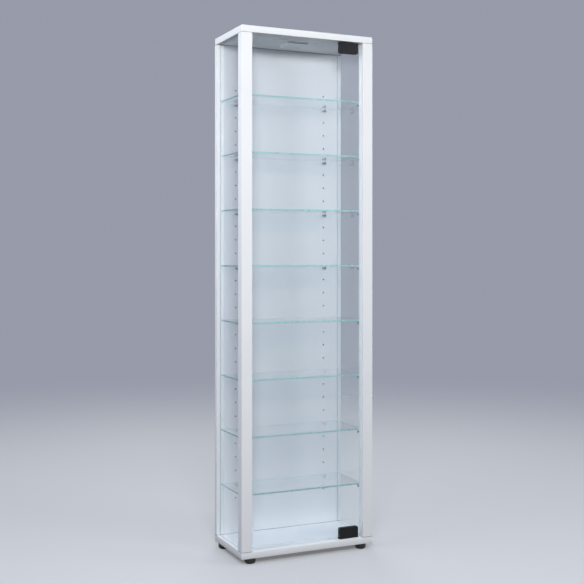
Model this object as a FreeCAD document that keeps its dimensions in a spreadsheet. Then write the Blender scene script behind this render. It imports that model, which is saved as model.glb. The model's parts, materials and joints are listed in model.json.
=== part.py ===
import FreeCAD, Part
import math
import os
import re
import Sketcher

# Tall display cabinet: white boards and posts, glass sides, glass shelves and a frameless glass door.
# Frame: origin on the floor under the middle of the cabinet, +X to the right, +Y to the back, +Z up.

doc = FreeCAD.newDocument("DisplayCabinet")

# Driving dimensions in millimetres: name, value and what it measures
SIZES = (
    ("cabinet_width", 485, "over the sides of the boards"),
    ("cabinet_depth", 250, "from the front of the boards to the rear of the back board"),
    ("carcass_height", 1743, "from the underside of the base board to the top of the top board"),
    ("board", 22, "thickness of base board and top board"),
    ("board_crown", 1.0, "swell of the boards' narrow sides"),
    ("board_edge", 1.2, "rounding of the boards' edging"),
    ("back_thickness", 16, "back board"),
    ("post_width", 37, "front post, seen from the front"),
    ("post_depth", 32, "front post, front to rear"),
    ("post_edge", 1.0, "rounding of the posts' edges"),
    ("side_pane", 5, "thickness of the side glass"),
    ("side_inset", 13, "from the cabinet's side to the side glass"),
    ("pane_play", 0.3, "side glass in its grooves"),
    ("board_groove", 8, "depth of the glass grooves in boards and posts"),
    ("back_groove", 6, "depth of the glass grooves in the back board"),
    ("arris", 0.4, "ground edge of the glass"),
    ("shelf_pane", 5, "thickness of the shelves"),
    ("shelf_side_gap", 2, "from the side glass to the shelf"),
    ("shelf_front_gap", 12, "from the posts to the shelf"),
    ("shelf_rear_gap", 2, "from the back board to the shelf"),
    ("hole_pitch", 47.31, "between peg holes"),
    ("first_hole", 124.4, "lowest peg hole above the base board"),
    ("top_hole_margin", 150, "least height left above the highest peg hole"),
    ("shelf_first_hole", 1, "holes left free below the lowest shelf"),
    ("shelf_count", 8, "glass shelves"),
    ("back_column", 74, "peg holes of the back board, from the cabinet's sides"),
    ("post_column", 28, "peg holes of the posts, from the cabinet's sides"),
    ("peg_diameter", 5, "shelf peg"),
    ("peg_seat", 10, "length of a peg in its hole"),
    ("peg_hole_spare", 1, "peg hole deeper than the peg's seat"),
    ("peg_bearing", 9, "length of a peg under the shelf"),
    ("peg_drop", 5, "hole with a peg, below its place in the row"),
    ("sleeve_diameter", 14, "soft sleeve on the peg"),
    ("sleeve_short", 0.5, "peg tip showing past the sleeve"),
    ("fit_play", 0.05, "radial play of fasteners, pegs and bushes in their bores"),
    ("door_pane", 5, "thickness of the door glass"),
    ("door_setback", 15, "from the posts' front to the door's front"),
    ("door_side_gap", 3, "between door and post"),
    ("door_bottom_gap", 10, "between base board and door"),
    ("door_top_gap", 11, "between door and top board"),
    ("hinge_width", 71, "clamp along the door"),
    ("hinge_height", 37.5, "clamp up the door"),
    ("hinge_post_gap", 13, "from the right post to the clamp"),
    ("hinge_front_wall", 3.5, "clamp in front of the glass"),
    ("hinge_rear_wall", 4.5, "clamp behind the glass"),
    ("hinge_corner", 6, "rounding of the clamp's free corners"),
    ("hinge_edge", 0.8, "rounding of the clamp's front and rear edges"),
    ("gasket", 1, "rubber between clamp and glass"),
    ("clamp_plate", 1.5, "plate that the set screws press on"),
    ("lining_inset", 2, "gasket and plate in from the clamp's ends"),
    ("pivot_inset", 12, "pivot from the clamp's end at the post"),
    ("pin_diameter", 6, "pivot pin"),
    ("pin_play", 0.05, "radial play of the pin in its bush"),
    ("pin_chamfer", 0.6, "pin's leading end"),
    ("pin_depth", 8, "pin below the face of its board"),
    ("bush_diameter", 10, "pivot bush in its board"),
    ("bush_depth", 9, "pivot bush below the face of its board"),
    ("bush_flange", 1, "thickness of the bush's flange"),
    ("bush_flange_diameter", 14, "flange of the bush"),
    ("upper_lift", 0.5, "play above the upper clamp"),
    ("set_screw_diameter", 4, "set screw of the clamp"),
    ("set_screw_inset", 18, "set screw from the clamp's ends"),
    ("set_screw_rise", 13, "set screw from the glass edge"),
    ("set_screw_sink", 0.4, "set screw below the clamp's rear face"),
    ("set_screw_socket", 2, "hexagon socket, across its corners"),
    ("set_screw_socket_depth", 2, "hexagon socket"),
    ("foot_height", 18, "floor to base board"),
    ("foot_top_diameter", 37, "foot at the board"),
    ("foot_bottom_diameter", 28, "foot on the floor"),
    ("foot_rim", 9, "straight rim of the foot under the board"),
    ("foot_edge_inset", 19, "front foot from the front, rear foot from the side, to its middle"),
    ("foot_far_inset", 37, "front foot from the side, rear foot from the rear, to its middle"),
    ("foot_sink", 8, "depth of the hole for the screw's head"),
    ("foot_sink_diameter", 9, "hole for the screw's head"),
    ("foot_screw_diameter", 4, "foot screw"),
    ("foot_screw_head", 8, "head of the foot screw"),
    ("foot_screw_head_height", 3, "head of the foot screw"),
    ("foot_screw_bite", 11, "foot screw in the base board"),
    ("cam_diameter", 15, "cam lock"),
    ("cam_length", 12.5, "cam lock"),
    ("cam_slot", 1.6, "driver slot of the cam"),
    ("cam_slot_depth", 1.5, "driver slot of the cam"),
    ("cam_slot_length", 9, "driver slot of the cam"),
    ("cam_from_end", 34, "cam's middle from the board"),
    ("cam_axis_depth", 7, "cam bolt below the face that the cam is in"),
    ("cam_post_inset", 9.5, "cam's middle from the post's inner face"),
    ("back_cam_inset", 100, "cams of the back board, from the cabinet's sides"),
    ("bolt_thread", 6, "thread of the cam bolt"),
    ("bolt_bite", 11, "cam bolt in the board"),
    ("bolt_shank", 6.8, "shank of the cam bolt"),
    ("bolt_neck", 4, "neck of the cam bolt"),
    ("bolt_neck_length", 5, "neck of the cam bolt"),
    ("bolt_head", 6.4, "head of the cam bolt"),
    ("bolt_head_length", 6, "head of the cam bolt"),
    ("bolt_bore", 7.2, "bore round the cam bolt's shank and head"),
    ("dowel_diameter", 8, "wooden dowel"),
    ("dowel_length", 30, "wooden dowel"),
    ("dowel_bite", 12, "dowel in the board"),
    ("dowel_spare", 1, "dowel holes deeper than the dowel"),
    ("post_dowel_side", 10, "post's dowel from the cabinet's side"),
    ("post_dowel_front", 14, "post's dowel from the cabinet's front"),
    ("back_dowel_inset", 50, "dowels of the back board, from the cabinet's sides"),
    ("latch_width", 10, "latch housing"),
    ("latch_length", 36, "latch housing round the plunger"),
    ("latch_drop", 26, "latch housing below the top board"),
    ("latch_edge", 1, "rounding of the latch housing"),
    ("latch_tongue", 24, "screwed tongue behind the latch housing"),
    ("latch_tongue_thickness", 6, "screwed tongue behind the latch housing"),
    ("latch_post_gap", 1.5, "from the left post to the latch housing"),
    ("latch_door_gap", 6, "from the door to the latch housing"),
    ("latch_axis_drop", 18, "plunger below the top board"),
    ("latch_rear_wall", 4, "latch housing behind the spring"),
    ("latch_screw_diameter", 3, "latch screw"),
    ("latch_screw_head", 5.5, "head of the latch screw"),
    ("latch_screw_head_height", 2, "head of the latch screw"),
    ("latch_screw_bite", 13, "latch screw in the top board"),
    ("latch_screw_inset", 6, "latch screws from the tongue's ends"),
    ("plunger_diameter", 7, "latch plunger"),
    ("plunger_play", 0.1, "radial play of the plunger in its bore"),
    ("spring_length", 14, "latch spring, pressed together"),
    ("spring_diameter", 6, "latch spring, outside"),
    ("spring_wire", 0.9, "wall of the spring's coil"),
    ("magnet_diameter", 6, "magnet on the plunger's tip"),
    ("magnet_length", 3, "magnet on the plunger's tip"),
    ("magnet_gap", 0.2, "between magnet and strike plate"),
    ("strike_plate", 1, "thickness of the strike plate"),
    ("strike_width", 6, "strike plate along the door"),
    ("strike_height", 12, "strike plate up the door"),
    ("lamp_side", 73, "lamp, square"),
    ("lamp_drop", 5, "lamp below the top board"),
    ("lamp_corner", 3, "rounding of the lamp's corners"),
    ("lamp_edge", 0.5, "rounding of the lamp's lower rim"),
    ("lamp_wall", 2, "rim of the lamp housing"),
    ("lamp_roof", 1.5, "roof of the lamp housing"),
    ("diffuser", 1.5, "thickness of the lamp's diffuser"),
    ("diffuser_play", 0.2, "diffuser in the rim"),
    ("led_board_side", 52, "lamp's circuit board, square"),
    ("led_board", 0.9, "thickness of the lamp's circuit board"),
    ("lamp_screw_diameter", 3, "lamp screw"),
    ("lamp_screw_head", 5, "head of the lamp screw"),
    ("lamp_screw_head_height", 1.2, "head of the lamp screw"),
    ("lamp_screw_bite", 14, "lamp screw in the top board"),
    ("lamp_screw_wall_gap", 0.5, "from the lamp's rim to the screw's head"),
    ("cable_bore", 5, "way for the lamp's lead"),
    ("cable_bush_diameter", 8, "bush round the lead"),
    ("cable_bush_flange", 12, "flange of the bush, sunk flush in the top board"),
    ("cable_bush_flange_height", 2, "flange of the bush"),
    ("cable_setback", 18, "bush behind the lamp's middle"),
)

# Places that follow from the driving dimensions
PLACES = {
    "left": "-cabinet_width / 2",
    "right": "cabinet_width / 2",
    "front": "-cabinet_depth / 2",
    "rear": "cabinet_depth / 2",
    "crown_radius": "board_crown / 2 + board * board / (8 * board_crown)",
    "foot_spread": "foot_top_diameter - foot_bottom_diameter",
    "foot_bowl": "foot_height - foot_rim",
    "foot_bulge": "foot_spread / 4 + foot_bowl * foot_bowl / foot_spread",
    "base_top": "foot_height + board",
    "ceiling": "foot_height + carcass_height - board",
    "inner_height": "carcass_height - 2 * board",
    "post_rear": "front + post_depth",
    "back_front": "rear - back_thickness",
    "groove_width": "side_pane + 2 * pane_play",
    "groove_front": "post_rear - board_groove",
    "groove_rear": "back_front + back_groove",
    "hole_count": "1 + floor((inner_height - first_hole - top_hole_margin) / hole_pitch)",
    "shelf_hole_step": "floor((hole_count - 2 - shelf_first_hole) / max(1; shelf_count - 1))",
    "shelf_inset": "side_inset + side_pane + shelf_side_gap",
    "shelf_front": "post_rear + shelf_front_gap",
    "door_left": "left + post_width + door_side_gap",
    "door_width": "cabinet_width - 2 * (post_width + door_side_gap)",
    "door_front": "front + door_setback",
    "door_rear": "door_front + door_pane",
    "door_bottom": "base_top + door_bottom_gap",
    "door_top": "ceiling - door_top_gap",
    "hinge_left": "right - post_width - hinge_post_gap - hinge_width",
    "pivot_x": "hinge_left + hinge_width - pivot_inset",
    "pivot_y": "door_front + door_pane / 2",
    "slot_front": "door_front - gasket",
    "slot_rear": "door_rear + gasket + clamp_plate",
    "hinge_front": "slot_front - hinge_front_wall",
    "hinge_rear": "slot_rear + hinge_rear_wall",
    "lower_hinge_low": "base_top + bush_flange",
    "lower_hinge_high": "lower_hinge_low + hinge_height",
    "upper_hinge_high": "ceiling - bush_flange - upper_lift",
    "upper_hinge_low": "upper_hinge_high - hinge_height",
    "latch_left": "left + post_width + latch_post_gap",
    "latch_x": "latch_left + latch_width / 2",
    "latch_z": "ceiling - latch_axis_drop",
    "latch_front": "door_rear + latch_door_gap",
    "latch_rear": "latch_front + latch_length",
    "spring_rear": "latch_rear - latch_rear_wall",
    "plunger_rear": "spring_rear - spring_length",
    "magnet_front": "door_rear + strike_plate + magnet_gap",
    "magnet_rear": "magnet_front + magnet_length",
    "lamp_screw_x": "lamp_side / 2 - lamp_wall - lamp_screw_wall_gap - lamp_screw_head / 2",
}

SIZE_NAMES = {name for name, number, note in SIZES}
SIDES = ("left", "right")
X_AXIS = FreeCAD.Vector(1, 0, 0)
TURNS = {
    "up": FreeCAD.Rotation(),
    "down": FreeCAD.Rotation(X_AXIS, 180),
    "back": FreeCAD.Rotation(X_AXIS, -90),
    "front": FreeCAD.Rotation(X_AXIS, 90),
    "aside": FreeCAD.Rotation(FreeCAD.Vector(0, 0, 1), 90),
}

sheet = doc.addObject("Spreadsheet::Sheet", "size")
for row, (name, number, note) in enumerate(SIZES, start=1):
    sheet.set(f"A{row}", name)
    sheet.set(f"B{row}", str(number))
    sheet.setAlias(f"B{row}", name)
    sheet.set(f"C{row}", note)
doc.recompute()

pieces = []


def formula(text):
    """Spell named sizes and places as cells of the sheet."""
    def spell(match):
        word = match.group(0)
        if word in PLACES:
            return "(" + formula(PLACES[word]) + ")"
        return "size." + word if word in SIZE_NAMES else word
    return re.sub(r"[a-z][a-z0-9_]*", spell, text)


def value(text):
    """The number that a formula of sizes gives."""
    return float(sheet.evalExpression(formula(text)))


def bind(made, **properties):
    """Tie an object's properties to formulas of sizes."""
    for name, text in properties.items():
        made.setExpression(name, formula(text))


def place(made, where, turn="up"):
    """Put an object's origin at a point given by three formulas."""
    made.Placement = FreeCAD.Placement(FreeCAD.Vector(), TURNS[turn])
    for axis, text in zip("xyz", where):
        made.setExpression("Placement.Base." + axis, formula(text))
    return made


def piece(made, label):
    """Name a finished piece, which is written to a file of that name."""
    made.Label = label
    pieces.append(made)
    return made


def from_side(side, distance, width="0"):
    """Lower x of a thing of this width whose outer face lies so far in from a side."""
    if side == "left":
        return f"left + {distance}"
    return f"right - ({distance}) - ({width})"


def box(name, low, lengths):
    made = doc.addObject("Part::Box", name)
    bind(made, Length=lengths[0], Width=lengths[1], Height=lengths[2])
    return place(made, low)


def cylinder(name, start, diameter, length, turn="up"):
    made = doc.addObject("Part::Cylinder", name)
    bind(made, Radius=f"({diameter}) / 2", Height=length)
    return place(made, start, turn)


def fuse(name, solids):
    made = doc.addObject("Part::MultiFuse", name)
    made.Shapes = solids
    return made


def group(name, solids):
    made = doc.addObject("Part::Compound", name)
    made.Links = solids
    return made


def cut(name, solid, tools):
    made = doc.addObject("Part::Cut", name)
    made.Base = solid
    made.Tool = tools[0] if len(tools) == 1 else fuse(name + "_tools", tools)
    return made


def eased(kind, name, solid, size, wanted=None):
    """Fillet or chamfer the wanted edges of a solid, or all of them."""
    solid.recompute(True)
    amount = value(size)
    made = doc.addObject(kind, name)
    made.Base = solid
    made.Edges = [
        (number, amount, amount)
        for number, edge in enumerate(solid.Shape.Edges, start=1)
        if wanted is None or wanted(edge)
    ]
    return made


def along(axis):
    """Tell the straight edges that run along one axis."""
    direction = FreeCAD.Vector(*(float(axis == letter) for letter in "xyz"))
    return lambda edge: abs(abs(edge.tangentAt(edge.FirstParameter).dot(direction)) - 1) < 1e-6


def level(axis, text):
    """Tell the edges that lie in the plane at one place along an axis."""
    number = "xyz".index(axis)
    at = value(text)
    return lambda edge: all(abs(vertex.Point[number] - at) < 1e-6 for vertex in edge.Vertexes)


def rounded(name, solid, size, wanted=None):
    return eased("Part::Fillet", name, solid, size, wanted)


def ground_glass(label, low, lengths):
    """A pane with its sharp edges ground off."""
    pane = box(label + "_pane", low, lengths)
    return piece(eased("Part::Chamfer", label, pane, "arris"), label)


def bulging_arc(start, end, radius):
    """Arc from start to end, bulging to the right of that direction."""
    chord = end - start
    middle = (start + end) * 0.5
    inward = FreeCAD.Vector(-chord.y, chord.x, 0).normalize()
    centre = middle + inward * math.sqrt(radius ** 2 - (chord.Length / 2) ** 2)
    angles = [math.atan2(point.y - centre.y, point.x - centre.x) for point in (start, end)]
    return Part.ArcOfCircle(Part.Circle(centre, FreeCAD.Vector(0, 0, 1), radius), *angles)


def profile(body, points):
    """Closed outline of (radius, height) points, where a third entry bows the side after it."""
    sketch = body.newObject("Sketcher::SketchObject", body.Name + "_outline")
    plane = [item for item in body.Origin.OriginFeatures if item.Role == "XZ_Plane"][0]
    sketch.AttachmentSupport = [(plane, "")]
    sketch.MapMode = "FlatFace"
    corners = [FreeCAD.Vector(value(point[0]), value(point[1]), 0) for point in points]
    for index, point in enumerate(points):
        start = corners[index]
        end = corners[(index + 1) % len(points)]
        bowed = len(point) > 2
        sketch.addGeometry(
            bulging_arc(start, end, value(point[2])) if bowed else Part.LineSegment(start, end)
        )
    for index, point in enumerate(points):
        following = (index + 1) % len(points)
        sketch.addConstraint(Sketcher.Constraint("Coincident", index, 2, following, 1))
        for kind, text, axis in (("DistanceX", point[0], -2), ("DistanceY", point[1], -1)):
            if text == "0":
                sketch.addConstraint(Sketcher.Constraint("PointOnObject", index, 1, axis))
                continue
            number = sketch.addConstraint(Sketcher.Constraint(kind, -1, 1, index, 1, value(text)))
            sketch.setExpression(f"Constraints[{number}]", formula(text))
        if len(point) > 2:
            number = sketch.addConstraint(Sketcher.Constraint("Radius", index, value(point[2])))
            sketch.setExpression(f"Constraints[{number}]", formula(point[2]))
    return sketch


def turned(name, points, where, turn="up"):
    """A turned piece: an outline spun round its own axis."""
    body = doc.addObject("PartDesign::Body", name)
    sketch = profile(body, points)
    spin = body.newObject("PartDesign::Revolution", name + "_spin")
    spin.Profile = sketch
    spin.ReferenceAxis = (sketch, ["V_Axis"])
    spin.Angle = 360
    return place(body, where, turn)


def screw(name, where, turn, sizes):
    """Screw with a flat head: the origin is under the head, the shank runs along the turn."""
    shank, length, head, head_height = sizes
    outline = (
        ("0", f"-({head_height})"),
        (f"({head}) / 2", f"-({head_height})"),
        (f"({head}) / 2", "0"),
        (f"({shank}) / 2", "0"),
        (f"({shank}) / 2", length),
        ("0", length),
    )
    return turned(name, outline, where, turn)


def hole_height(index):
    return f"base_top + first_hole + {index} * hole_pitch"


def peg_height(number):
    """Pegs of a shelf, counted from the lowest shelf."""
    return hole_height(f"(shelf_first_hole + {number} * shelf_hole_step)") + " - peg_drop"


def bore(diameter):
    """Diameter of the hole that a round thing sits in."""
    return f"{diameter} + 2 * fit_play"


# Where the posts and the back board are bolted to base and top: bolt, dowel and the cam's face
COLUMNS = []
for side in SIDES:
    COLUMNS.append({
        "name": "post_" + side,
        "bolt": (from_side(side, "post_width - cam_post_inset"), "post_rear - cam_axis_depth"),
        "dowel": (from_side(side, "post_dowel_side"), "front + post_dowel_front"),
        "cam_face": "post_rear",
    })
    COLUMNS.append({
        "name": "back_" + side,
        "bolt": (from_side(side, "back_cam_inset"), "rear - cam_axis_depth"),
        "dowel": (from_side(side, "back_dowel_inset"), "rear - back_thickness / 2"),
        "cam_face": "rear",
    })

# The two faces that the columns stand between: into the column, into the board, and the sign of up
ENDS = {
    "lower": {"face": "base_top", "inward": "up", "outward": "down", "sign": "+"},
    "upper": {"face": "ceiling", "inward": "down", "outward": "up", "sign": "-"},
}

FEET = {
    "foot_front_left": (from_side("left", "foot_far_inset"), "front + foot_edge_inset"),
    "foot_front_right": (from_side("right", "foot_far_inset"), "front + foot_edge_inset"),
    "foot_rear_left": (from_side("left", "foot_edge_inset"), "rear - foot_far_inset"),
    "foot_rear_right": (from_side("right", "foot_edge_inset"), "rear - foot_far_inset"),
}

LATCH_SCREWS = (
    "latch_rear + latch_screw_inset",
    "latch_rear + latch_tongue - latch_screw_inset",
)


def cam_height(end):
    return f"{end['face']} {end['sign']} cam_from_end"


def joint_bores(name, end, into_board):
    """Bores for cam bolts, dowels and side glass in a board, or in the columns' ends."""
    tools = []
    for column in COLUMNS:
        if not into_board and column["name"] != name:
            continue
        turn = end["outward"] if into_board else end["inward"]
        bolt = ("bolt_bite", bore("bolt_thread")) if into_board else ("cam_from_end", "bolt_bore")
        dowel = "dowel_bite" if into_board else "dowel_length - dowel_bite"
        label = f"{name}_{column['name']}_{turn}"
        tools.append(cylinder(label + "_bolt", (*column["bolt"], end["face"]), bolt[1], bolt[0], turn))
        tools.append(cylinder(
            label + "_dowel", (*column["dowel"], end["face"]),
            bore("dowel_diameter"), dowel + " + dowel_spare", turn,
        ))
    return tools


def cam_pockets(name, column):
    return [
        cylinder(
            f"{name}_{column['name']}_{place_name}_pocket",
            (column["bolt"][0], column["cam_face"], cam_height(end)),
            bore("cam_diameter"), "cam_length", "front",
        )
        for place_name, end in ENDS.items()
    ]


def glass_groove(name, side, low, lengths):
    """Groove for a side pane, given by its y and z reach."""
    x = from_side(side, "side_inset - pane_play", "groove_width")
    return box(f"{name}_{side}_groove", (x, *low), ("groove_width", *lengths))


def crowned_slab(name, sides, where, turn, length):
    """Slab as thick as a board, with a swelling along two of its sides."""
    near, far = sides
    body = doc.addObject("PartDesign::Body", name)
    pad = body.newObject("PartDesign::Pad", name + "_pad")
    pad.Profile = profile(body, (
        (f"{near} + board_crown", "0"),
        (f"{far} - board_crown", "0", "crown_radius"),
        (f"{far} - board_crown", "board"),
        (f"{near} + board_crown", "board", "crown_radius"),
    ))
    bind(pad, Length=length)
    return place(body, where, turn)


def crowned_board(name, low):
    """Board whose four narrow sides swell slightly: what two slabs laid crosswise share."""
    made = doc.addObject("Part::MultiCommon", name)
    made.Shapes = [
        crowned_slab(name + "_wide", ("left", "right"), ("0", "rear", low), "up", "cabinet_depth"),
        crowned_slab(name + "_deep", ("front", "rear"), ("left", "0", low), "aside", "cabinet_width"),
    ]
    return made


def board_with_bores(name, end_name, low, extra):
    """Base or top board: rounded edging, glass grooves, joint bores and the pivot bush's bore."""
    end = ENDS[end_name]
    blank = crowned_board(name + "_blank", low)
    groove_low = "base_top - board_groove" if end_name == "lower" else "ceiling"
    reach = ("groove_rear - groove_front", "board_groove")
    tools = [glass_groove(name, side, ("groove_front", groove_low), reach) for side in SIDES]
    tools += joint_bores(name, end, True)
    tools.append(cylinder(
        name + "_bush_bore", ("pivot_x", "pivot_y", end["face"]),
        bore("bush_diameter"), "bush_depth", end["outward"],
    ))
    return piece(cut(name, rounded(name + "_edged", blank, "board_edge"), tools + extra), name)


def make_base_board():
    screw_bores = [
        cylinder(label + "_screw_bore", (*spot, "foot_height"),
                 bore("foot_screw_diameter"), "foot_screw_bite")
        for label, spot in FEET.items()
    ]
    board_with_bores("base_board", "lower", "foot_height", screw_bores)


def make_top_board():
    latch_bores = [
        cylinder(f"latch_screw_bore_{number}", ("latch_x", y, "ceiling"),
                 bore("latch_screw_diameter"), "latch_screw_bite")
        for number, y in enumerate(LATCH_SCREWS, start=1)
    ]
    lamp_bores = [
        cylinder(f"lamp_screw_bore_{sign}", (f"{sign} lamp_screw_x", "0", "ceiling"),
                 bore("lamp_screw_diameter"), "lamp_screw_bite")
        for sign in ("-", "+")
    ]
    cable_way = [
        cylinder("cable_way", ("0", "cable_setback", "ceiling"), bore("cable_bush_diameter"), "board"),
        cylinder("cable_flange_sink", ("0", "cable_setback", "ceiling + board"),
                 bore("cable_bush_flange"), "cable_bush_flange_height", "down"),
    ]
    board_with_bores("top_board", "upper", "ceiling", latch_bores + lamp_bores + cable_way)


def peg_holes(name, x, face, turn):
    """A row of free holes, and one hole for each shelf's peg in place of a free one."""
    shelves = range(int(value("shelf_count")))
    taken = [value("shelf_first_hole") + number * value("shelf_hole_step") for number in shelves]
    heights = [hole_height(index) for index in range(int(value("hole_count"))) if index not in taken]
    heights += [peg_height(number) for number in shelves]
    return [
        cylinder(f"{name}_hole_{number}", (x, face, height),
                 bore("peg_diameter"), "peg_seat + peg_hole_spare", turn)
        for number, height in enumerate(heights, start=1)
    ]


def make_back_board():
    blank = box("back_blank", ("left", "back_front", "base_top"),
                ("cabinet_width", "back_thickness", "inner_height"))
    tools = []
    for side in SIDES:
        tools.append(glass_groove("back", side, ("back_front", "base_top"), ("back_groove", "inner_height")))
        tools += peg_holes("back_" + side, from_side(side, "back_column"), "back_front", "back")
    for column in COLUMNS:
        if column["cam_face"] == "rear":
            tools += cam_pockets("back", column)
            for end in ENDS.values():
                tools += joint_bores(column["name"], end, False)
    piece(cut("back_board", blank, tools), "back_board")


def make_post(side):
    label = "post_" + side
    blank = box(label + "_blank", (from_side(side, "0", "post_width"), "front", "base_top"),
                ("post_width", "post_depth", "inner_height"))
    edged = rounded(label + "_edged", blank, "post_edge")
    tools = [glass_groove(label, side, ("groove_front", "base_top"), ("board_groove", "inner_height"))]
    tools += peg_holes(label, from_side(side, "post_column"), "post_rear", "front")
    column = [item for item in COLUMNS if item["name"] == label][0]
    tools += cam_pockets(label, column)
    for end in ENDS.values():
        tools += joint_bores(label, end, False)
    piece(cut(label, edged, tools), label)


def make_side_glass(side):
    low = (from_side(side, "side_inset", "side_pane"), "groove_front + pane_play",
           "base_top - board_groove")
    lengths = ("side_pane", "groove_rear - groove_front - 2 * pane_play",
               "inner_height + 2 * board_groove - pane_play")
    ground_glass("side_glass_" + side, low, lengths)


def make_shelves():
    for number in range(int(value("shelf_count"))):
        low = ("left + shelf_inset", "shelf_front", f"{peg_height(number)} + sleeve_diameter / 2")
        lengths = ("cabinet_width - 2 * shelf_inset", "back_front - shelf_rear_gap - shelf_front",
                   "shelf_pane")
        ground_glass(f"shelf_{number + 1}", low, lengths)


def make_pegs(row, column, face, into, gap):
    """Pegs under one long edge of all shelves, each with a soft sleeve on its free end."""
    out = "back" if into == "front" else "front"
    pegs = []
    sleeves = []
    sleeve_bores = []
    for number in range(int(value("shelf_count"))):
        for side in SIDES:
            spot = (from_side(side, column), peg_height(number))
            seat = f"{face} + peg_seat" if into == "back" else f"{face} - peg_seat"
            label = f"{row}_{number + 1}_{side}"
            reach = f"{gap} + peg_bearing"
            pegs.append(cylinder("peg_" + label, (spot[0], seat, spot[1]),
                                 "peg_diameter", f"peg_seat + {reach}", out))
            sleeves.append(cylinder("sleeve_" + label, (spot[0], face, spot[1]),
                                    "sleeve_diameter", f"{reach} - sleeve_short", out))
            sleeve_bores.append(cylinder("sleeve_bore_" + label, (spot[0], face, spot[1]),
                                         bore("peg_diameter"), reach, out))
    piece(group("pegs_" + row, pegs), "pegs_" + row)
    blanks = group("sleeve_blanks_" + row, sleeves)
    label = "peg_sleeves_" + row
    piece(cut(label, blanks, [group(label + "_bores", sleeve_bores)]), label)


def make_door_glass():
    ground_glass("door_glass", ("door_left", "door_front", "door_bottom"),
                 ("door_width", "door_pane", "door_top - door_bottom"))


def make_hinge(end_name):
    """Clamp on a corner of the door, with its gasket, plate, pivot pin and bush."""
    end = ENDS[end_name]
    lower = end_name == "lower"
    low = f"{end_name}_hinge_low"
    high = f"{end_name}_hinge_high"
    web_end = "door_bottom - gasket" if lower else "door_top + gasket"
    slot = (web_end, high) if lower else (low, web_end)
    lined = (web_end, f"{high} - lining_inset") if lower else (f"{low} + lining_inset", web_end)
    glass = ("door_bottom", lined[1]) if lower else (lined[0], "door_top")
    lined_x = "hinge_left + lining_inset"
    lined_width = "hinge_width - 2 * lining_inset"

    blank = box("hinge_blank_" + end_name, ("hinge_left", "hinge_front", low),
                ("hinge_width", "hinge_rear - hinge_front", "hinge_height"))
    across = along("y")
    free_end = level("z", high if lower else low)
    block = rounded("hinge_block_" + end_name, blank, "hinge_corner",
                    lambda edge: across(edge) and free_end(edge))
    outlines = [level("y", face) for face in ("hinge_front", "hinge_rear")]
    softened = rounded("hinge_softened_" + end_name, block, "hinge_edge",
                       lambda edge: any(outline(edge) for outline in outlines))
    tools = [
        box("hinge_slot_" + end_name, ("hinge_left", "slot_front", slot[0]),
            ("hinge_width", "slot_rear - slot_front", f"{slot[1]} - ({slot[0]})")),
        cylinder("pin_bore_" + end_name, ("pivot_x", "pivot_y", end["face"]),
                 bore("pin_diameter"), f"abs({web_end} - {end['face']})", end["inward"]),
    ]
    for number, (x, z) in enumerate(set_screw_spots(lower), start=1):
        tools.append(cylinder(f"set_screw_bore_{end_name}_{number}", (x, "slot_rear", z),
                              bore("set_screw_diameter"), "hinge_rear_wall", "back"))
    piece(cut("hinge_body_" + end_name, softened, tools), "hinge_body_" + end_name)

    lining = box("lining_" + end_name, (lined_x, "slot_front", lined[0]),
                 (lined_width, "door_pane + 2 * gasket", f"{lined[1]} - ({lined[0]})"))
    glass_space = box("lining_space_" + end_name, (lined_x, "door_front", glass[0]),
                      (lined_width, "door_pane", f"{glass[1]} - ({glass[0]})"))
    piece(cut("hinge_gasket_" + end_name, lining, [glass_space]), "hinge_gasket_" + end_name)

    plate = box("clamp_plate_" + end_name, (lined_x, "door_rear + gasket", glass[0]),
                (lined_width, "clamp_plate", f"{glass[1]} - ({glass[0]})"))
    piece(plate, "clamp_plate_" + end_name)

    web_height = f"abs({web_end} - {end['face']})"
    pin_outline = (
        ("0", "-pin_depth"),
        ("pin_diameter / 2 - pin_chamfer", "-pin_depth"),
        ("pin_diameter / 2", "pin_chamfer - pin_depth"),
        ("pin_diameter / 2", web_height),
        ("0", web_height),
    )
    spot = ("pivot_x", "pivot_y", end["face"])
    piece(turned("hinge_pin_" + end_name, pin_outline, spot, end["inward"]), "hinge_pin_" + end_name)

    bush_outline = (
        ("pin_diameter / 2 + pin_play", "-bush_depth"),
        ("bush_diameter / 2", "-bush_depth"),
        ("bush_diameter / 2", "0"),
        ("bush_flange_diameter / 2", "0"),
        ("bush_flange_diameter / 2", "bush_flange"),
        ("pin_diameter / 2 + pin_play", "bush_flange"),
    )
    piece(turned("hinge_bush_" + end_name, bush_outline, spot, end["inward"]), "hinge_bush_" + end_name)


def set_screw_spots(lower):
    """Middle of each set screw of one clamp, as x and z."""
    height = "door_bottom + set_screw_rise" if lower else "door_top - set_screw_rise"
    return (
        ("hinge_left + set_screw_inset", height),
        ("hinge_left + hinge_width - set_screw_inset", height),
    )


def make_set_screws():
    screws = []
    for end_name in ENDS:
        for number, (x, z) in enumerate(set_screw_spots(end_name == "lower"), start=1):
            label = f"set_screw_{end_name}_{number}"
            blank = cylinder(label + "_blank", (x, "slot_rear", z), "set_screw_diameter",
                             "hinge_rear_wall - set_screw_sink", "back")
            socket = doc.addObject("Part::Prism", label + "_socket")
            socket.Polygon = 6
            bind(socket, Circumradius="set_screw_socket / 2", Height="set_screw_socket_depth")
            place(socket, (x, "hinge_rear - set_screw_sink", z), "front")
            screws.append(cut(label, blank, [socket]))
    piece(group("hinge_set_screws", screws), "hinge_set_screws")


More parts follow.
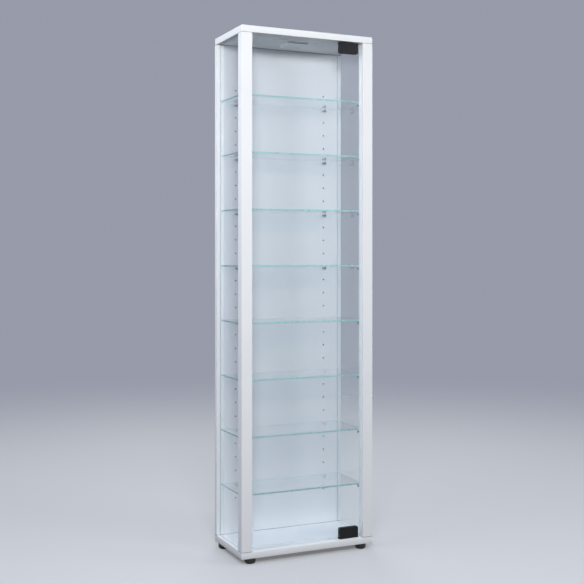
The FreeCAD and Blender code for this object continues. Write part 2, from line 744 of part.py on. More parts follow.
def make_feet():
    outline = (
        ("foot_sink_diameter / 2", "0"),
        ("foot_bottom_diameter / 2", "0", "foot_bulge"),
        ("foot_top_diameter / 2", "foot_bowl"),
        ("foot_top_diameter / 2", "foot_height"),
        ("foot_screw_diameter / 2 + fit_play", "foot_height"),
        ("foot_screw_diameter / 2 + fit_play", "foot_sink"),
        ("foot_sink_diameter / 2", "foot_sink"),
    )
    screw_sizes = ("foot_screw_diameter", "foot_height - foot_sink + foot_screw_bite",
                   "foot_screw_head", "foot_screw_head_height")
    screws = []
    for label, spot in FEET.items():
        piece(turned(label, outline, (*spot, "0")), label)
        screws.append(screw(label + "_screw", (*spot, "foot_sink"), "up", screw_sizes))
    piece(group("foot_screws", screws), "foot_screws")


def make_knock_down_joints():
    """Cam locks, cam bolts and dowels between the columns and the two boards."""
    shank_end = "cam_from_end - bolt_head_length / 2 - bolt_neck_length"
    head_start = "cam_from_end - bolt_head_length / 2"
    head_end = "cam_from_end + bolt_head_length / 2"
    outline = (
        ("0", "-bolt_bite"),
        ("bolt_thread / 2", "-bolt_bite"),
        ("bolt_thread / 2", "0"),
        ("bolt_shank / 2", "0"),
        ("bolt_shank / 2", shank_end),
        ("bolt_neck / 2", shank_end),
        ("bolt_neck / 2", head_start),
        ("bolt_head / 2", head_start),
        ("bolt_head / 2", head_end),
        ("0", head_end),
    )
    cams = []
    bolts = []
    dowels = []
    for column in COLUMNS:
        for end_name, end in ENDS.items():
            label = f"{column['name']}_{end_name}"
            x, y = column["bolt"]
            middle = cam_height(end)
            blank = cylinder("cam_blank_" + label, (x, column["cam_face"], middle),
                             "cam_diameter", "cam_length", "front")
            head_room = cylinder("cam_mouth_" + label, (x, y, f"{middle} {end['sign']} bolt_bore / 2"),
                                 "bolt_bore", "cam_diameter", end["outward"])
            slot = box("cam_slot_" + label,
                       (f"{x} - cam_slot_length / 2", f"{column['cam_face']} - cam_slot_depth",
                        f"{middle} - cam_slot / 2"),
                       ("cam_slot_length", "cam_slot_depth", "cam_slot"))
            cams.append(cut("cam_" + label, blank, [head_room, slot]))
            bolts.append(turned("cam_bolt_" + label, outline, (x, y, end["face"]), end["inward"]))
            foot = f"{end['face']} {'-' if end_name == 'lower' else '+'} dowel_bite"
            dowels.append(cylinder("dowel_" + label, (*column["dowel"], foot),
                                   "dowel_diameter", "dowel_length", end["inward"]))
    piece(group("cam_locks", cams), "cam_locks")
    piece(group("cam_bolts", bolts), "cam_bolts")
    piece(group("dowels", dowels), "dowels")


def make_latch():
    """Push latch under the top board, behind the door's free edge."""
    block = box("latch_block", ("latch_left", "latch_front", "ceiling - latch_drop"),
                ("latch_width", "latch_length", "latch_drop"))
    tongue = box("latch_tongue_blank", ("latch_left", "latch_rear", "ceiling - latch_tongue_thickness"),
                 ("latch_width", "latch_tongue", "latch_tongue_thickness"))
    tools = [cylinder("plunger_bore", ("latch_x", "latch_front", "latch_z"),
                      "plunger_diameter + 2 * plunger_play", "latch_length - latch_rear_wall", "back")]
    screws = []
    screw_sizes = ("latch_screw_diameter", "latch_tongue_thickness + latch_screw_bite",
                   "latch_screw_head", "latch_screw_head_height")
    for number, y in enumerate(LATCH_SCREWS, start=1):
        spot = ("latch_x", y, "ceiling - latch_tongue_thickness")
        tools.append(cylinder(f"latch_tongue_bore_{number}", spot,
                              bore("latch_screw_diameter"), "latch_tongue_thickness"))
        screws.append(screw(f"latch_screw_{number}", spot, "up", screw_sizes))
    housing = fuse("latch_blank", [rounded("latch_edged", block, "latch_edge", along("y")), tongue])
    piece(cut("latch_housing", housing, tools), "latch_housing")
    piece(group("latch_screws", screws), "latch_screws")

    piece(cylinder("latch_plunger", ("latch_x", "magnet_rear", "latch_z"),
                   "plunger_diameter", "plunger_rear - (magnet_rear)", "back"), "latch_plunger")
    piece(cylinder("latch_magnet", ("latch_x", "magnet_front", "latch_z"),
                   "magnet_diameter", "magnet_length", "back"), "latch_magnet")
    coil = cylinder("spring_blank", ("latch_x", "plunger_rear", "latch_z"),
                    "spring_diameter", "spring_length", "back")
    core = cylinder("spring_core", ("latch_x", "plunger_rear", "latch_z"),
                    "spring_diameter - 2 * spring_wire", "spring_length", "back")
    piece(cut("latch_spring", coil, [core]), "latch_spring")
    piece(box("strike_plate", ("latch_x - strike_width / 2", "door_rear", "latch_z - strike_height / 2"),
              ("strike_width", "strike_plate", "strike_height")), "strike_plate")


def square(name, side, top, thickness):
    """Flat square plate, centred over the cabinet's middle, hanging from a height."""
    return box(name, (f"-({side}) / 2", f"-({side}) / 2", f"{top} - ({thickness})"),
               (side, side, thickness))


def make_lamp():
    """Flat lamp in the middle of the top board's underside."""
    roof_under = "ceiling - lamp_roof"
    tray = rounded("lamp_tray", square("lamp_blank", "lamp_side", "ceiling", "lamp_drop"),
                   "lamp_corner", along("z"))
    softened = rounded("lamp_softened", tray, "lamp_edge", level("z", "ceiling - lamp_drop"))
    tools = [
        square("lamp_hollow", "lamp_side - 2 * lamp_wall", roof_under, "lamp_drop - lamp_roof"),
        cylinder("lamp_cable_hole", ("0", "cable_setback", roof_under), "cable_bore", "lamp_roof"),
    ]
    screws = []
    screw_sizes = ("lamp_screw_diameter", "lamp_roof + lamp_screw_bite",
                   "lamp_screw_head", "lamp_screw_head_height")
    for sign in ("-", "+"):
        spot = (f"{sign} lamp_screw_x", "0", roof_under)
        tools.append(cylinder(f"lamp_roof_bore_{sign}", spot, bore("lamp_screw_diameter"), "lamp_roof"))
        screws.append(screw(f"lamp_screw_{sign}", spot, "up", screw_sizes))
    piece(cut("lamp_housing", softened, tools), "lamp_housing")
    piece(group("lamp_screws", screws), "lamp_screws")
    piece(square("lamp_led_board", "led_board_side", roof_under, "led_board"), "lamp_led_board")
    piece(square("lamp_diffuser", "lamp_side - 2 * (lamp_wall + diffuser_play)",
                 "ceiling - lamp_drop + diffuser", "diffuser"), "lamp_diffuser")

    outline = (
        ("cable_bore / 2", "0"),
        ("cable_bush_diameter / 2", "0"),
        ("cable_bush_diameter / 2", "board - cable_bush_flange_height"),
        ("cable_bush_flange / 2", "board - cable_bush_flange_height"),
        ("cable_bush_flange / 2", "board"),
        ("cable_bore / 2", "board"),
    )
    piece(turned("cable_bush", outline, ("0", "cable_setback", "ceiling")), "cable_bush")


def make_cabinet():
    make_base_board()
    make_top_board()
    make_back_board()
    for side in SIDES:
        make_post(side)
        make_side_glass(side)
    make_shelves()
    make_pegs("rear", "back_column", "back_front", "back", "shelf_rear_gap")
    make_pegs("front", "post_column", "post_rear", "front", "shelf_front_gap")
    make_door_glass()
    for end_name in ENDS:
        make_hinge(end_name)
    make_set_screws()
    make_feet()
    make_knock_down_joints()
    make_latch()
    make_lamp()


def check_document():
    """Stop if an object failed, or if a piece has no sound solid."""
    failed = [item.Label for item in doc.Objects if {"Invalid", "Error"} & set(item.State)]
    for made in pieces:
        if made.Shape.isNull() or not made.Shape.isValid() or not made.Shape.Solids:
            failed.append(made.Label)
    if failed:
        raise RuntimeError("failed: " + ", ".join(failed))


make_cabinet()
doc.recompute()
check_document()
os.makedirs("parts", exist_ok=True)
for made in pieces:
    made.Shape.exportStep(f"parts/{made.Label}.step")
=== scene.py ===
import json
import math

import bmesh
import bpy
from mathutils import Matrix, Vector


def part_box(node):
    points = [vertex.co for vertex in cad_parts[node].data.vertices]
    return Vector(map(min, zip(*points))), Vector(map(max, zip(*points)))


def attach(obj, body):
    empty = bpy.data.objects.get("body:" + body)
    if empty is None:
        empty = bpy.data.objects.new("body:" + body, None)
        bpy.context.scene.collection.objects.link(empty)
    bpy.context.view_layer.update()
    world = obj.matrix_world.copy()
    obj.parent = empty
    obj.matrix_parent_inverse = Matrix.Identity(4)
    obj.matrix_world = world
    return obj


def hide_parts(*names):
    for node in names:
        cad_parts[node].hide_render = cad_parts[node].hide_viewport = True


# Display cabinet with glass sides, shelves and door: finishes, ground glass, studio and camera.
# Metres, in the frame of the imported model: +X to the right, +Y to the back, +Z up, floor at 0.

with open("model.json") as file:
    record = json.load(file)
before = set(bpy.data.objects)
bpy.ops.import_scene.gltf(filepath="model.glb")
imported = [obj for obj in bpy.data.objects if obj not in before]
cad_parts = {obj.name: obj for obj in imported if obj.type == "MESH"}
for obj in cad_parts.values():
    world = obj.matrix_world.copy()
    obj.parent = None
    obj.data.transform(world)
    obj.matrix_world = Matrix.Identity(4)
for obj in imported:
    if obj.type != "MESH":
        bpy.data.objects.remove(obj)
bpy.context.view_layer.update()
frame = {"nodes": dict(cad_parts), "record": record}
NODES = frame["nodes"]
MILLIMETRE = 0.001
X, Y, Z = range(3)

# Camera, worked out from the photograph's vanishing points
PHOTO_SIDE = 584
FOCAL_PIXELS = 1021
HORIZON_ROW = 254
SENSOR_WIDTH = 36.0
CAMERA_PLACE = (-1.4768, -3.2109, 1.0138)
CAMERA_TURN = math.radians(-24.62)

# Studio: the floor has one tone for the eye and a darker one for the light that it throws back
BACKGROUND = (0.31, 0.326, 0.40, 1.0)
FLOOR_TONE = (0.46, 0.46, 0.475, 1.0)
FLOOR_BOUNCE = (0.08, 0.08, 0.087, 1.0)
FLOOR_LIFT = (0.16, 0.16, 0.165, 1.0)
FLOOR_RADIUS = 7.0
FLOOR_SIDES = 128
FLOOR_FADE = (1.6, 5.5)
SKY_TONE = (0.76, 0.87, 1.0, 1.0)
SKY_HORIZON = 0.13
SKY_OVERHEAD = 0.78
NEUTRAL = (1.0, 1.0, 1.0)
COOL = (0.90, 0.94, 1.0)
SOFTBOXES = (
    # name, place, point aimed at, width, height, tone, power in watts
    ("front_softbox", (-1.1, -2.5, 2.0), (0.0, -0.1, 1.2), 0.8, 0.3, NEUTRAL, 49.0),
    ("right_softbox", (2.0, -1.9, 1.92), (0.2, 0.0, 1.1), 0.9, 0.3, NEUTRAL, 18.0),
    ("side_softbox", (-1.55, -0.15, 1.78), (-0.24, 0.0, 1.5), 0.9, 0.3, COOL, 12.0),
    ("rear_softbox", (0.7, 2.3, 3.0), (0.0, 0.12, 0.9), 1.4, 0.5, NEUTRAL, 24.0),
)
LIGHT_BOUNCES = 32
CLEAR_BOUNCES = 64

# Glass: a tint for what the eye sees through it, and the share of lamp and wall light it passes
GLASS_TINT = (0.965, 0.985, 0.985, 1.0)
SHELF_TINT = (0.965, 0.988, 0.986, 1.0)
GLASS_PASS = (0.915, 0.940, 0.968, 1.0)
SHELF_PASS = (0.935, 0.950, 0.955, 1.0)
EDGE_PASS = (0.84, 0.93, 0.925, 1.0)
TUBE_PASS = (0.94, 0.95, 0.95, 1.0)
GLASS_IOR = 1.5
TUBE_IOR = 1.1
WAVE_DEPTH = 0.004
EDGE_PATCHES = 60.0
EDGE_HILLS = 2500.0
EDGE_CLEARNESS = {"IOR": GLASS_IOR, "Transmission Weight": 0.4}
GROUND = (220.0, 0.2, 0.36)
POLISHED = (220.0, 0.12, 0.24)
ARRIS = 0.4 * MILLIMETRE
ARRIS_SEGMENTS = 2
FLAT = 0.999
SHELVES = [f"shelf_{number}" for number in range(1, 9)]

# Chipboard without foil shows inside the peg holes and at the cut ends of posts and back.
# Its near-black tone is partly its own and partly painted shade in the holes and joint gaps.
PEG_RADIUS = 2.5 * MILLIMETRE
HOLE_REACH = 3.0 * MILLIMETRE
FOIL_THICKNESS = 0.2 * MILLIMETRE
HOLE_END_MARGIN = 0.1
CUT_END = 1.2 * MILLIMETRE
CUT_END_LIFT = 0.12 * MILLIMETRE


def add(tree, kind, inputs=None, **settings):
    """A node with its settings, and its inputs either linked or set."""
    node = tree.nodes.new("ShaderNode" + kind)
    for name, setting in settings.items():
        setattr(node, name, setting)
    for socket, given in (inputs or {}).items():
        feed(tree, node.inputs[socket], given)
    return node


def feed(tree, socket, given):
    """Link an input to another node's output, or set it to a plain value."""
    if isinstance(given, bpy.types.NodeSocket):
        tree.links.new(given, socket)
    else:
        socket.default_value = given


def maths(tree, operation, *terms):
    """The result of one Math node."""
    return add(tree, "Math", dict(enumerate(terms)), operation=operation).outputs["Value"]


def mix_tones(tree, share, tone, other):
    """The colour between two tones."""
    first, second, result = 6, 7, 2
    mix = add(tree, "Mix", {0: share, first: tone, second: other}, data_type="RGBA")
    return mix.outputs[result]


def effect_group(name, inputs, outputs):
    """An empty shader node group with its sockets."""
    tree = bpy.data.node_groups.new(name, "ShaderNodeTree")
    for label, kind in inputs.items():
        tree.interface.new_socket(label, in_out="INPUT", socket_type="NodeSocket" + kind)
    for label, kind in outputs.items():
        tree.interface.new_socket(label, in_out="OUTPUT", socket_type="NodeSocket" + kind)
    entry = tree.nodes.new("NodeGroupInput").outputs
    leave = tree.nodes.new("NodeGroupOutput").inputs
    return tree, entry, leave


def soft_noise(tree, place, scale, detail=3.0):
    """Noise spread over the whole range from 0 to 1."""
    noise = add(tree, "TexNoise", {
        "Vector": place, "Scale": scale, "Detail": detail, "Roughness": 0.55})
    spread = add(tree, "MapRange", {
        "Value": noise.outputs["Fac"], "From Min": 0.3, "From Max": 0.7})
    return spread.outputs["Result"]


def make_tone_drift():
    """Two tones that drift into each other in soft patches."""
    tree, entry, leave = effect_group(
        "tone_drift",
        {"Place": "Vector", "Patches per metre": "Float", "Tone": "Color", "Other tone": "Color"},
        {"Tone": "Color"},
    )
    share = soft_noise(tree, entry["Place"], entry["Patches per metre"])
    feed(tree, leave["Tone"], mix_tones(tree, share, entry["Tone"], entry["Other tone"]))
    return tree


def make_gloss_drift():
    """A roughness that changes in soft patches."""
    tree, entry, leave = effect_group(
        "gloss_drift",
        {"Place": "Vector", "Patches per metre": "Float",
         "Smoothest": "Float", "Roughest": "Float"},
        {"Roughness": "Float"},
    )
    share = soft_noise(tree, entry["Place"], entry["Patches per metre"])
    rough = add(tree, "MapRange", {
        "Value": share, "To Min": entry["Smoothest"], "To Max": entry["Roughest"]})
    feed(tree, leave["Roughness"], rough.outputs["Result"])
    return tree


def make_fine_relief():
    """The small hills of a foil, a moulded skin or a coat of paint."""
    tree, entry, leave = effect_group(
        "fine_relief", {"Place": "Vector", "Hills per metre": "Float"}, {"Height": "Float"})
    noise = add(tree, "TexNoise", {
        "Vector": entry["Place"], "Scale": entry["Hills per metre"],
        "Detail": 1.5, "Roughness": 0.5})
    feed(tree, leave["Height"], noise.outputs["Fac"])
    return tree


def make_drawn_lines():
    """Fine lines along one direction, as on drawn steel or wood."""
    tree, entry, leave = effect_group(
        "drawn_lines", {"Place": "Vector", "Lines per metre": "Vector"}, {"Mask": "Float"})
    stretched = add(tree, "VectorMath", {
        0: entry["Place"], 1: entry["Lines per metre"]}, operation="MULTIPLY")
    feed(tree, leave["Mask"], soft_noise(tree, stretched.outputs["Vector"], 1.0, detail=4.0))
    return tree


def make_bare_and_shade_mask():
    """A zone without foil and with painted shade, on the left and on the right of the cabinet
    alike.
    """
    tree, entry, leave = effect_group(
        "bare_and_shade_mask",
        {"Place": "Vector", "Middle": "Vector", "Reach": "Vector"},
        {"Mask": "Float"},
    )
    place, middle, reach = (
        add(tree, "SeparateXYZ", {"Vector": entry[label]}).outputs
        for label in ("Place", "Middle", "Reach"))
    either_side = maths(tree, "ABSOLUTE", place["X"])
    mask = 1.0
    for axis, along in (("X", either_side), ("Y", place["Y"]), ("Z", place["Z"])):
        near = maths(tree, "COMPARE", along, middle[axis], reach[axis])
        mask = maths(tree, "MULTIPLY", mask, near)
    feed(tree, leave["Mask"], mask)
    return tree


TONE_DRIFT = make_tone_drift()
GLOSS_DRIFT = make_gloss_drift()
FINE_RELIEF = make_fine_relief()
DRAWN_LINES = make_drawn_lines()
BARE_AND_SHADE_MASK = make_bare_and_shade_mask()


class Finish:
    """A material with one Principled shader that reads Object coordinates."""

    def __init__(self, name, fixed=None):
        self.material = bpy.data.materials.new(name)
        self.material.use_nodes = True
        self.tree = self.material.node_tree
        self.shader = self.tree.nodes["Principled BSDF"]
        self.output = self.tree.nodes["Material Output"]
        self.place = add(self.tree, "TexCoord").outputs["Object"]
        for socket, given in (fixed or {}).items():
            self.set(socket, given)

    def set(self, socket, given):
        """Link or set one of the shader's inputs."""
        feed(self.tree, self.shader.inputs[socket], given)

    def effect(self, group, **inputs):
        """The outputs of a shared effect placed in this material."""
        node = self.tree.nodes.new("ShaderNodeGroup")
        node.node_tree = group
        feed(self.tree, node.inputs["Place"], self.place)
        for label, given in inputs.items():
            feed(self.tree, node.inputs[label.replace("_", " ")], given)
        return node.outputs

    def drift(self, patches, tone, other):
        """A colour that drifts between two tones, in so many patches per metre."""
        made = self.effect(
            TONE_DRIFT, Patches_per_metre=patches, Tone=(*tone, 1.0), Other_tone=(*other, 1.0))
        return made["Tone"]

    def tones(self, patches, tone, other):
        """Base colour that drifts between two tones."""
        self.set("Base Color", self.drift(patches, tone, other))
        return self

    def gloss(self, patches, smoothest, roughest):
        """Roughness that drifts between two values, in so many patches per metre."""
        made = self.effect(
            GLOSS_DRIFT, Patches_per_metre=patches, Smoothest=smoothest, Roughest=roughest)
        self.set("Roughness", made["Roughness"])
        return self

    def relief(self, hills, depth):
        """So many fine hills per metre, of that depth in millimetres."""
        self.bump(self.effect(FINE_RELIEF, Hills_per_metre=hills)["Height"], depth)
        return self

    def lines(self, per_metre, tone, other, depth):
        """Lines along one direction, in colour and in relief."""
        mask = self.effect(DRAWN_LINES, Lines_per_metre=per_metre)["Mask"]
        self.set("Base Color", mix_tones(self.tree, mask, (*tone, 1.0), (*other, 1.0)))
        self.bump(mask, depth)
        return self

    def bump(self, height, depth):
        """Relief from a height that runs from 0 to 1, of that depth in millimetres."""
        bump = add(self.tree, "Bump", {
            "Height": height, "Distance": depth * MILLIMETRE, "Strength": 1.0})
        self.set("Normal", bump.outputs["Normal"])

    def light_passes(self, tint):
        """Lamp and wall light goes straight through, and what the eye sees through it bends."""
        tree = self.tree
        path = add(tree, "LightPath").outputs
        either = maths(tree, "MAXIMUM", path["Is Shadow Ray"], path["Is Diffuse Ray"])
        straight = add(tree, "BsdfTransparent", {"Color": tint})
        mix = add(tree, "MixShader", {
            0: either, 1: self.shader.outputs["BSDF"], 2: straight.outputs["BSDF"]})
        feed(tree, self.output.inputs["Surface"], mix.outputs["Shader"])
        return self


def bores_in(board, pegs):
    """Middle and reach of the holes that a row of pegs sits in, just under the board's foil."""
    low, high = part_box(board)
    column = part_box(pegs)[1].x - PEG_RADIUS
    middle = (low + high) / 2
    depth, height = (high - low).yz / 2
    reach = (HOLE_REACH, depth - FOIL_THICKNESS, height - HOLE_END_MARGIN)
    return (column, middle.y, middle.z), reach


def cut_ends(board):
    """Middle and reach of the rims at an upright board's ends, without foil and with painted
    shade, just clear of base and top.
    """
    low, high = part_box(board)
    middle = (low + high) / 2
    width, depth, _ = (high - low) / 2
    rim = (width + FOIL_THICKNESS, depth + FOIL_THICKNESS, CUT_END / 2)
    inset = CUT_END_LIFT + CUT_END / 2
    return [((middle.x, middle.y, height), rim) for height in (low.z + inset, high.z - inset)]


def white_foil():
    """Satin foil on chipboard, with near-black zones where the chipboard shows and shade is
    painted.
    """
    foil = Finish("white_foil", {"Specular IOR Level": 0.35})
    tone = foil.drift(patches=7.0, tone=(0.850, 0.850, 0.862), other=(0.875, 0.875, 0.884))
    # Chipboard tone, darkened to near black as painted shade in the holes and joint gaps
    chips_and_shade = foil.drift(patches=900.0, tone=(0.020, 0.016, 0.012), other=(0.050, 0.040, 0.030))
    for board, pegs in (("back_board", "pegs_rear"), ("post_right", "pegs_front")):
        for middle, reach in (bores_in(board, pegs), *cut_ends(board)):
            bare_and_shaded = foil.effect(BARE_AND_SHADE_MASK, Middle=middle, Reach=reach)["Mask"]
            tone = mix_tones(foil.tree, bare_and_shaded, tone, chips_and_shade)
    foil.set("Base Color", tone)
    foil.gloss(patches=26.0, smoothest=0.45, roughest=0.55)
    return foil.relief(hills=1300.0, depth=0.012)


def clear_glass(name, tint, waves, passed):
    """Float glass with its slight waves, so many per metre."""
    glass = Finish(name, {
        "Base Color": tint, "Roughness": 0.0, "IOR": GLASS_IOR, "Transmission Weight": 1.0})
    return glass.relief(waves, WAVE_DEPTH).light_passes(passed)


def plain_finish(name, tones, gloss, relief, fixed=None):
    """A finish whose tone and gloss drift in patches, with fine hills on it."""
    return Finish(name, fixed).tones(*tones).gloss(*gloss).relief(*relief)


def lined_finish(name, lines, gloss, fixed=None):
    """A finish with fine lines, and a gloss that drifts in patches."""
    return Finish(name, fixed).lines(*lines).gloss(*gloss)


def glass_edge(name, tone, other, gloss, depth, fixed=EDGE_CLEARNESS):
    """The edge of a pane, where the glass shows its own green."""
    return plain_finish(name, (EDGE_PATCHES, tone, other), gloss, (EDGE_HILLS, depth), fixed)


# The finish of each slot. Tones are patches per metre and two tones, gloss is patches per metre,
# smoothest and roughest, relief is hills per metre and depth in millimetres, and lines are lines
# per metre along X, Y and Z, two tones and depth in millimetres.
FINISHES = {
    "white_board": white_foil(),
    "clear_glass": clear_glass("float_glass", GLASS_TINT, 9.0, GLASS_PASS),
    "black_clamp": plain_finish(
        "black_clamp_paint",
        tones=(45.0, (0.0040, 0.0039, 0.0048), (0.0062, 0.0060, 0.0074)),
        gloss=(90.0, 0.40, 0.52), relief=(2400.0, 0.03),
        fixed={"Specular IOR Level": 0.3}),
    "black_plastic": plain_finish(
        "black_moulding",
        tones=(80.0, (0.012, 0.012, 0.013), (0.020, 0.020, 0.021)),
        gloss=(120.0, 0.46, 0.6), relief=(1700.0, 0.04)),
    "gasket_rubber": plain_finish(
        "gasket_rubber",
        tones=(150.0, (0.022, 0.022, 0.022), (0.032, 0.032, 0.032)),
        gloss=(150.0, 0.7, 0.85), relief=(2600.0, 0.03)),
    "steel": lined_finish(
        "plated_steel",
        lines=((900.0, 900.0, 900.0), (0.60, 0.60, 0.61), (0.70, 0.70, 0.71), 0.004),
        gloss=(300.0, 0.24, 0.38), fixed={"Metallic": 1.0}),
    "zinc": plain_finish(
        "cast_zinc",
        tones=(260.0, (0.42, 0.42, 0.43), (0.52, 0.52, 0.53)),
        gloss=(420.0, 0.36, 0.55), relief=(1500.0, 0.03), fixed={"Metallic": 1.0}),
    "nylon": plain_finish(
        "white_nylon",
        tones=(150.0, (0.78, 0.78, 0.75), (0.84, 0.84, 0.81)),
        gloss=(200.0, 0.4, 0.5), relief=(2200.0, 0.02)),
    "dark_steel": plain_finish(
        "blackened_steel",
        tones=(300.0, (0.030, 0.030, 0.033), (0.048, 0.048, 0.052)),
        gloss=(300.0, 0.42, 0.56), relief=(1700.0, 0.01),
        fixed={"Specular IOR Level": 0.3}),
    "clear_sleeve": plain_finish(
        "clear_peg_tube",
        tones=(300.0, (0.93, 0.96, 0.96), (0.97, 0.985, 0.985)),
        gloss=(400.0, 0.03, 0.08), relief=(1800.0, 0.004),
        fixed={"Transmission Weight": 1.0, "IOR": TUBE_IOR}).light_passes(TUBE_PASS),
    "beech": lined_finish(
        "beech",
        lines=((1500.0, 1500.0, 60.0), (0.42, 0.26, 0.14), (0.56, 0.38, 0.22), 0.04),
        gloss=(120.0, 0.55, 0.7)),
    "latch_plastic": plain_finish(
        "white_moulding",
        tones=(90.0, (0.80, 0.80, 0.80), (0.85, 0.85, 0.85)),
        gloss=(150.0, 0.35, 0.46), relief=(1900.0, 0.02)),
    "magnet": plain_finish(
        "bright_nickel",
        tones=(400.0, (0.58, 0.57, 0.55), (0.66, 0.65, 0.63)),
        gloss=(500.0, 0.12, 0.22), relief=(1200.0, 0.004), fixed={"Metallic": 1.0}),
    "lamp_metal": plain_finish(
        "white_lacquer",
        tones=(60.0, (0.86, 0.86, 0.87), (0.90, 0.90, 0.91)),
        gloss=(200.0, 0.22, 0.32), relief=(1900.0, 0.01)),
    "frosted_cover": plain_finish(
        "frosted_cover",
        tones=(90.0, (0.80, 0.83, 0.83), (0.85, 0.88, 0.88)),
        gloss=(240.0, 0.2, 0.3), relief=(3000.0, 0.01),
        fixed={"Subsurface Weight": 0.3, "Subsurface Scale": 1.5 * MILLIMETRE}),
    "circuit_board": plain_finish(
        "white_circuit_board",
        tones=(200.0, (0.78, 0.79, 0.76), (0.84, 0.85, 0.82)),
        gloss=(260.0, 0.3, 0.42), relief=(1600.0, 0.02)),
}
SHELF_GLASS = clear_glass("shelf_glass", SHELF_TINT, 7.0, SHELF_PASS)

# Ground edges of the shelves, darker at the ends: partly the longer way through the pane, partly
# painted shade
SHELF_EDGE = glass_edge(
    "shelf_long_edge", (0.43, 0.79, 0.75), (0.55, 0.87, 0.83), GROUND, 0.004,
).light_passes(EDGE_PASS)
# Painted shade: the ends' darker tone also stands in for the dim light seen through them
SHELF_END = glass_edge(
    "shelf_short_edge", (0.20, 0.40, 0.39), (0.28, 0.50, 0.48), GROUND, 0.004,
).light_passes(EDGE_PASS)

# Polished edges of the door, pale where they are upright and the white posts shine into them
DOOR_EDGE = glass_edge(
    "door_upright_edge", (0.84, 0.91, 0.91), (0.90, 0.95, 0.95), POLISHED, 0.01)
DOOR_END = glass_edge(
    "door_level_edge", (0.24, 0.34, 0.34), (0.32, 0.43, 0.43), POLISHED, 0.01)

# Edge and margin of a side pane that sit in the grooves of boards and posts
# Painted light: the pale tone stands in for light carried along the pane into the dark groove
SEATED_EDGE = glass_edge(
    "seated_glass_edge", (0.70, 0.77, 0.77), (0.76, 0.83, 0.83), GROUND, 0.01,
    fixed={"IOR": GLASS_IOR})


def finish_cad_nodes():
    """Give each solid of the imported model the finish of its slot."""
    for part in frame["record"]["subparts"]:
        slot = NODES[part["node"]].material_slots[0]
        slot.link = "OBJECT"
        slot.material = FINISHES[part["material_slot"]].material


def in_scene(name, data):
    """A new object with that mesh, lamp or camera."""
    made = bpy.data.objects.new(name, data)
    bpy.context.scene.collection.objects.link(made)
    return made


def mesh_object(name, mesh, finishes):
    """Turn a bmesh into an object with these finishes."""
    data = bpy.data.meshes.new(name)
    mesh.to_mesh(data)
    mesh.free()
    for finish in finishes:
        data.materials.append(finish.material)
    return in_scene(name, data)


def new_piece(name, mesh, finishes, body, slot, *replaced):
    """Turn a bmesh into a piece that rides on a body in place of its solids."""
    piece = mesh_object(name, mesh, finishes)
    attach(piece, body)
    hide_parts(*replaced)


def ground_pane(node, body, thin, glass, ground, window=None, ends=None, length=X):
    """A pane with clear faces inside its window, and ground edges and ends with their arris."""
    low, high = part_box(node)
    mesh = bmesh.new()
    size = Matrix.Diagonal((*(high - low), 1.0))
    bmesh.ops.create_cube(mesh, size=1.0, matrix=Matrix.Translation((low + high) / 2) @ size)
    bmesh.ops.bevel(
        mesh, geom=mesh.edges[:], offset=ARRIS, segments=ARRIS_SEGMENTS, profile=0.5,
        affect="EDGES", material=-1)
    shown = window or {axis: (low[axis], high[axis]) for axis in (X, Y, Z) if axis != thin}
    for axis, limits in (window or {}).items():
        across = Vector(float(axis == other) for other in (X, Y, Z))
        for limit in limits:
            bmesh.ops.bisect_plane(
                mesh, geom=mesh.verts[:] + mesh.edges[:] + mesh.faces[:],
                plane_co=across * limit, plane_no=across)
    clear, edge, end = range(3)
    for face in mesh.faces:
        middle = face.calc_center_median()
        inside = all(least < middle[axis] < most for axis, (least, most) in shown.items())
        if inside and abs(face.normal[thin]) > FLAT:
            face.material_index = clear
        else:
            face.material_index = end if ends and abs(face.normal[length]) > FLAT else edge
    finishes = (glass, ground, ends) if ends else (glass, ground)
    new_piece(node + "_pane", mesh, finishes, body, "clear_glass", node)


def side_window():
    """What shows of the side panes between post, back, base and top, as limits along Y and Z."""
    post, back, base, top = (
        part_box(node) for node in ("post_left", "back_board", "base_board", "top_board"))
    return {Y: (post[1].y, back[0].y), Z: (base[1].z, top[0].z)}


def make_panes():
    """Door, side panes and shelves."""
    clear = FINISHES["clear_glass"]
    ground_pane("door_glass", "door", Y, clear, DOOR_EDGE, ends=DOOR_END, length=Z)
    for side in ("left", "right"):
        ground_pane("side_glass_" + side, "carcass", X, clear, SEATED_EDGE, side_window())
    for shelf in SHELVES:
        ground_pane(shelf, "carcass", Z, SHELF_GLASS, SHELF_EDGE, ends=SHELF_END)


def floor_paint():
    """Pale paint that fades into the background and throws little light up."""
    paint = Finish("studio_floor", {
        "Roughness": 0.7, "Specular IOR Level": 0.2, "Emission Color": FLOOR_LIFT})
    tree = paint.tree
    bounced = add(tree, "LightPath").outputs["Is Diffuse Ray"]
    paint.set("Base Color", mix_tones(tree, bounced, FLOOR_TONE, FLOOR_BOUNCE))
    paint.set("Emission Strength", maths(tree, "SUBTRACT", 1.0, bounced))
    reach = add(tree, "VectorMath", {0: paint.place}, operation="LENGTH").outputs["Value"]
    near, far = FLOOR_FADE
    fade = add(tree, "MapRange", {
        "Value": reach, "From Min": near, "From Max": far}, interpolation_type="SMOOTHSTEP")
    clear = add(tree, "BsdfTransparent")
    mix = add(tree, "MixShader", {
        0: fade.outputs["Result"], 1: paint.shader.outputs["BSDF"], 2: clear.outputs["BSDF"]})
    feed(tree, paint.output.inputs["Surface"], mix.outputs["Shader"])
    return paint


def make_floor():
    """A pale round floor."""
    mesh = bmesh.new()
    bmesh.ops.create_circle(mesh, cap_ends=True, segments=FLOOR_SIDES, radius=FLOOR_RADIUS)
    floor = mesh_object("studio_floor", mesh, [floor_paint()])


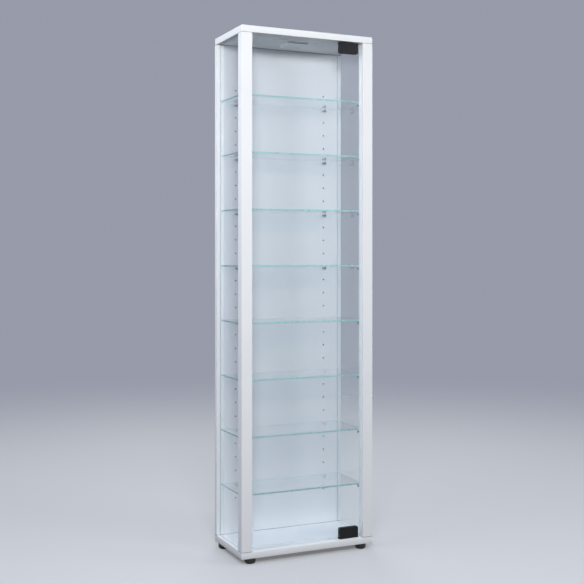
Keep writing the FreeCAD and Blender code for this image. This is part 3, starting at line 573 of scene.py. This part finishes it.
def make_sky():
    """Light that grows overhead, with a plain backdrop for the eye, mirrors and through glass."""
    world = bpy.data.worlds.new("studio_sky")
    bpy.context.scene.world = world
    world.use_nodes = True
    tree = world.node_tree
    tree.nodes.clear()
    path = add(tree, "LightPath").outputs
    seen = path["Is Camera Ray"]
    for ray in ("Is Glossy Ray", "Is Transmission Ray"):
        seen = maths(tree, "MAXIMUM", seen, path[ray])
    height = add(tree, "SeparateXYZ", {"Vector": add(tree, "TexCoord").outputs["Generated"]})
    strength = add(tree, "MapRange", {
        "Value": height.outputs["Z"], "To Min": SKY_HORIZON, "To Max": SKY_OVERHEAD})
    light = add(tree, "Background", {"Color": SKY_TONE, "Strength": strength.outputs["Result"]})
    backdrop = add(tree, "Background", {"Color": BACKGROUND, "Strength": 1.0})
    mix = add(tree, "MixShader", {
        0: seen, 1: light.outputs["Background"], 2: backdrop.outputs["Background"]})
    output = add(tree, "OutputWorld")
    feed(tree, output.inputs["Surface"], mix.outputs["Shader"])


def make_softboxes():
    """The studio's lamps, each turned to the point it is aimed at."""
    for name, place, aim, width, height, tone, power in SOFTBOXES:
        data = bpy.data.lights.new(name, "AREA")
        data.shape = "RECTANGLE"
        data.size = width
        data.size_y = height
        data.color = tone
        data.energy = power
        softbox = in_scene(name, data)
        softbox.location = place
        towards = Vector(aim) - Vector(place)
        softbox.rotation_euler = towards.to_track_quat("-Z", "Y").to_euler()


def make_camera():
    """A level camera: the picture is shifted, not tilted, so that uprights stay upright."""
    data = bpy.data.cameras.new("photo_camera")
    data.sensor_width = SENSOR_WIDTH
    data.lens = FOCAL_PIXELS / PHOTO_SIDE * SENSOR_WIDTH
    data.shift_y = (HORIZON_ROW - PHOTO_SIDE / 2) / PHOTO_SIDE
    camera = in_scene("photo_camera", data)
    camera.location = CAMERA_PLACE
    camera.rotation_euler = (math.pi / 2, 0.0, CAMERA_TURN)
    bpy.context.scene.camera = camera


def set_light_paths():
    """Enough bounces for light to cross all the shelves, which are two faces each."""
    scene = bpy.context.scene
    scene.view_settings.view_transform = "Standard"
    scene.cycles.max_bounces = LIGHT_BOUNCES
    scene.cycles.transmission_bounces = LIGHT_BOUNCES
    scene.cycles.transparent_max_bounces = CLEAR_BOUNCES


finish_cad_nodes()
make_panes()
make_floor()
make_sky()
make_softboxes()
make_camera()
set_light_paths()

bpy.context.view_layer.update()
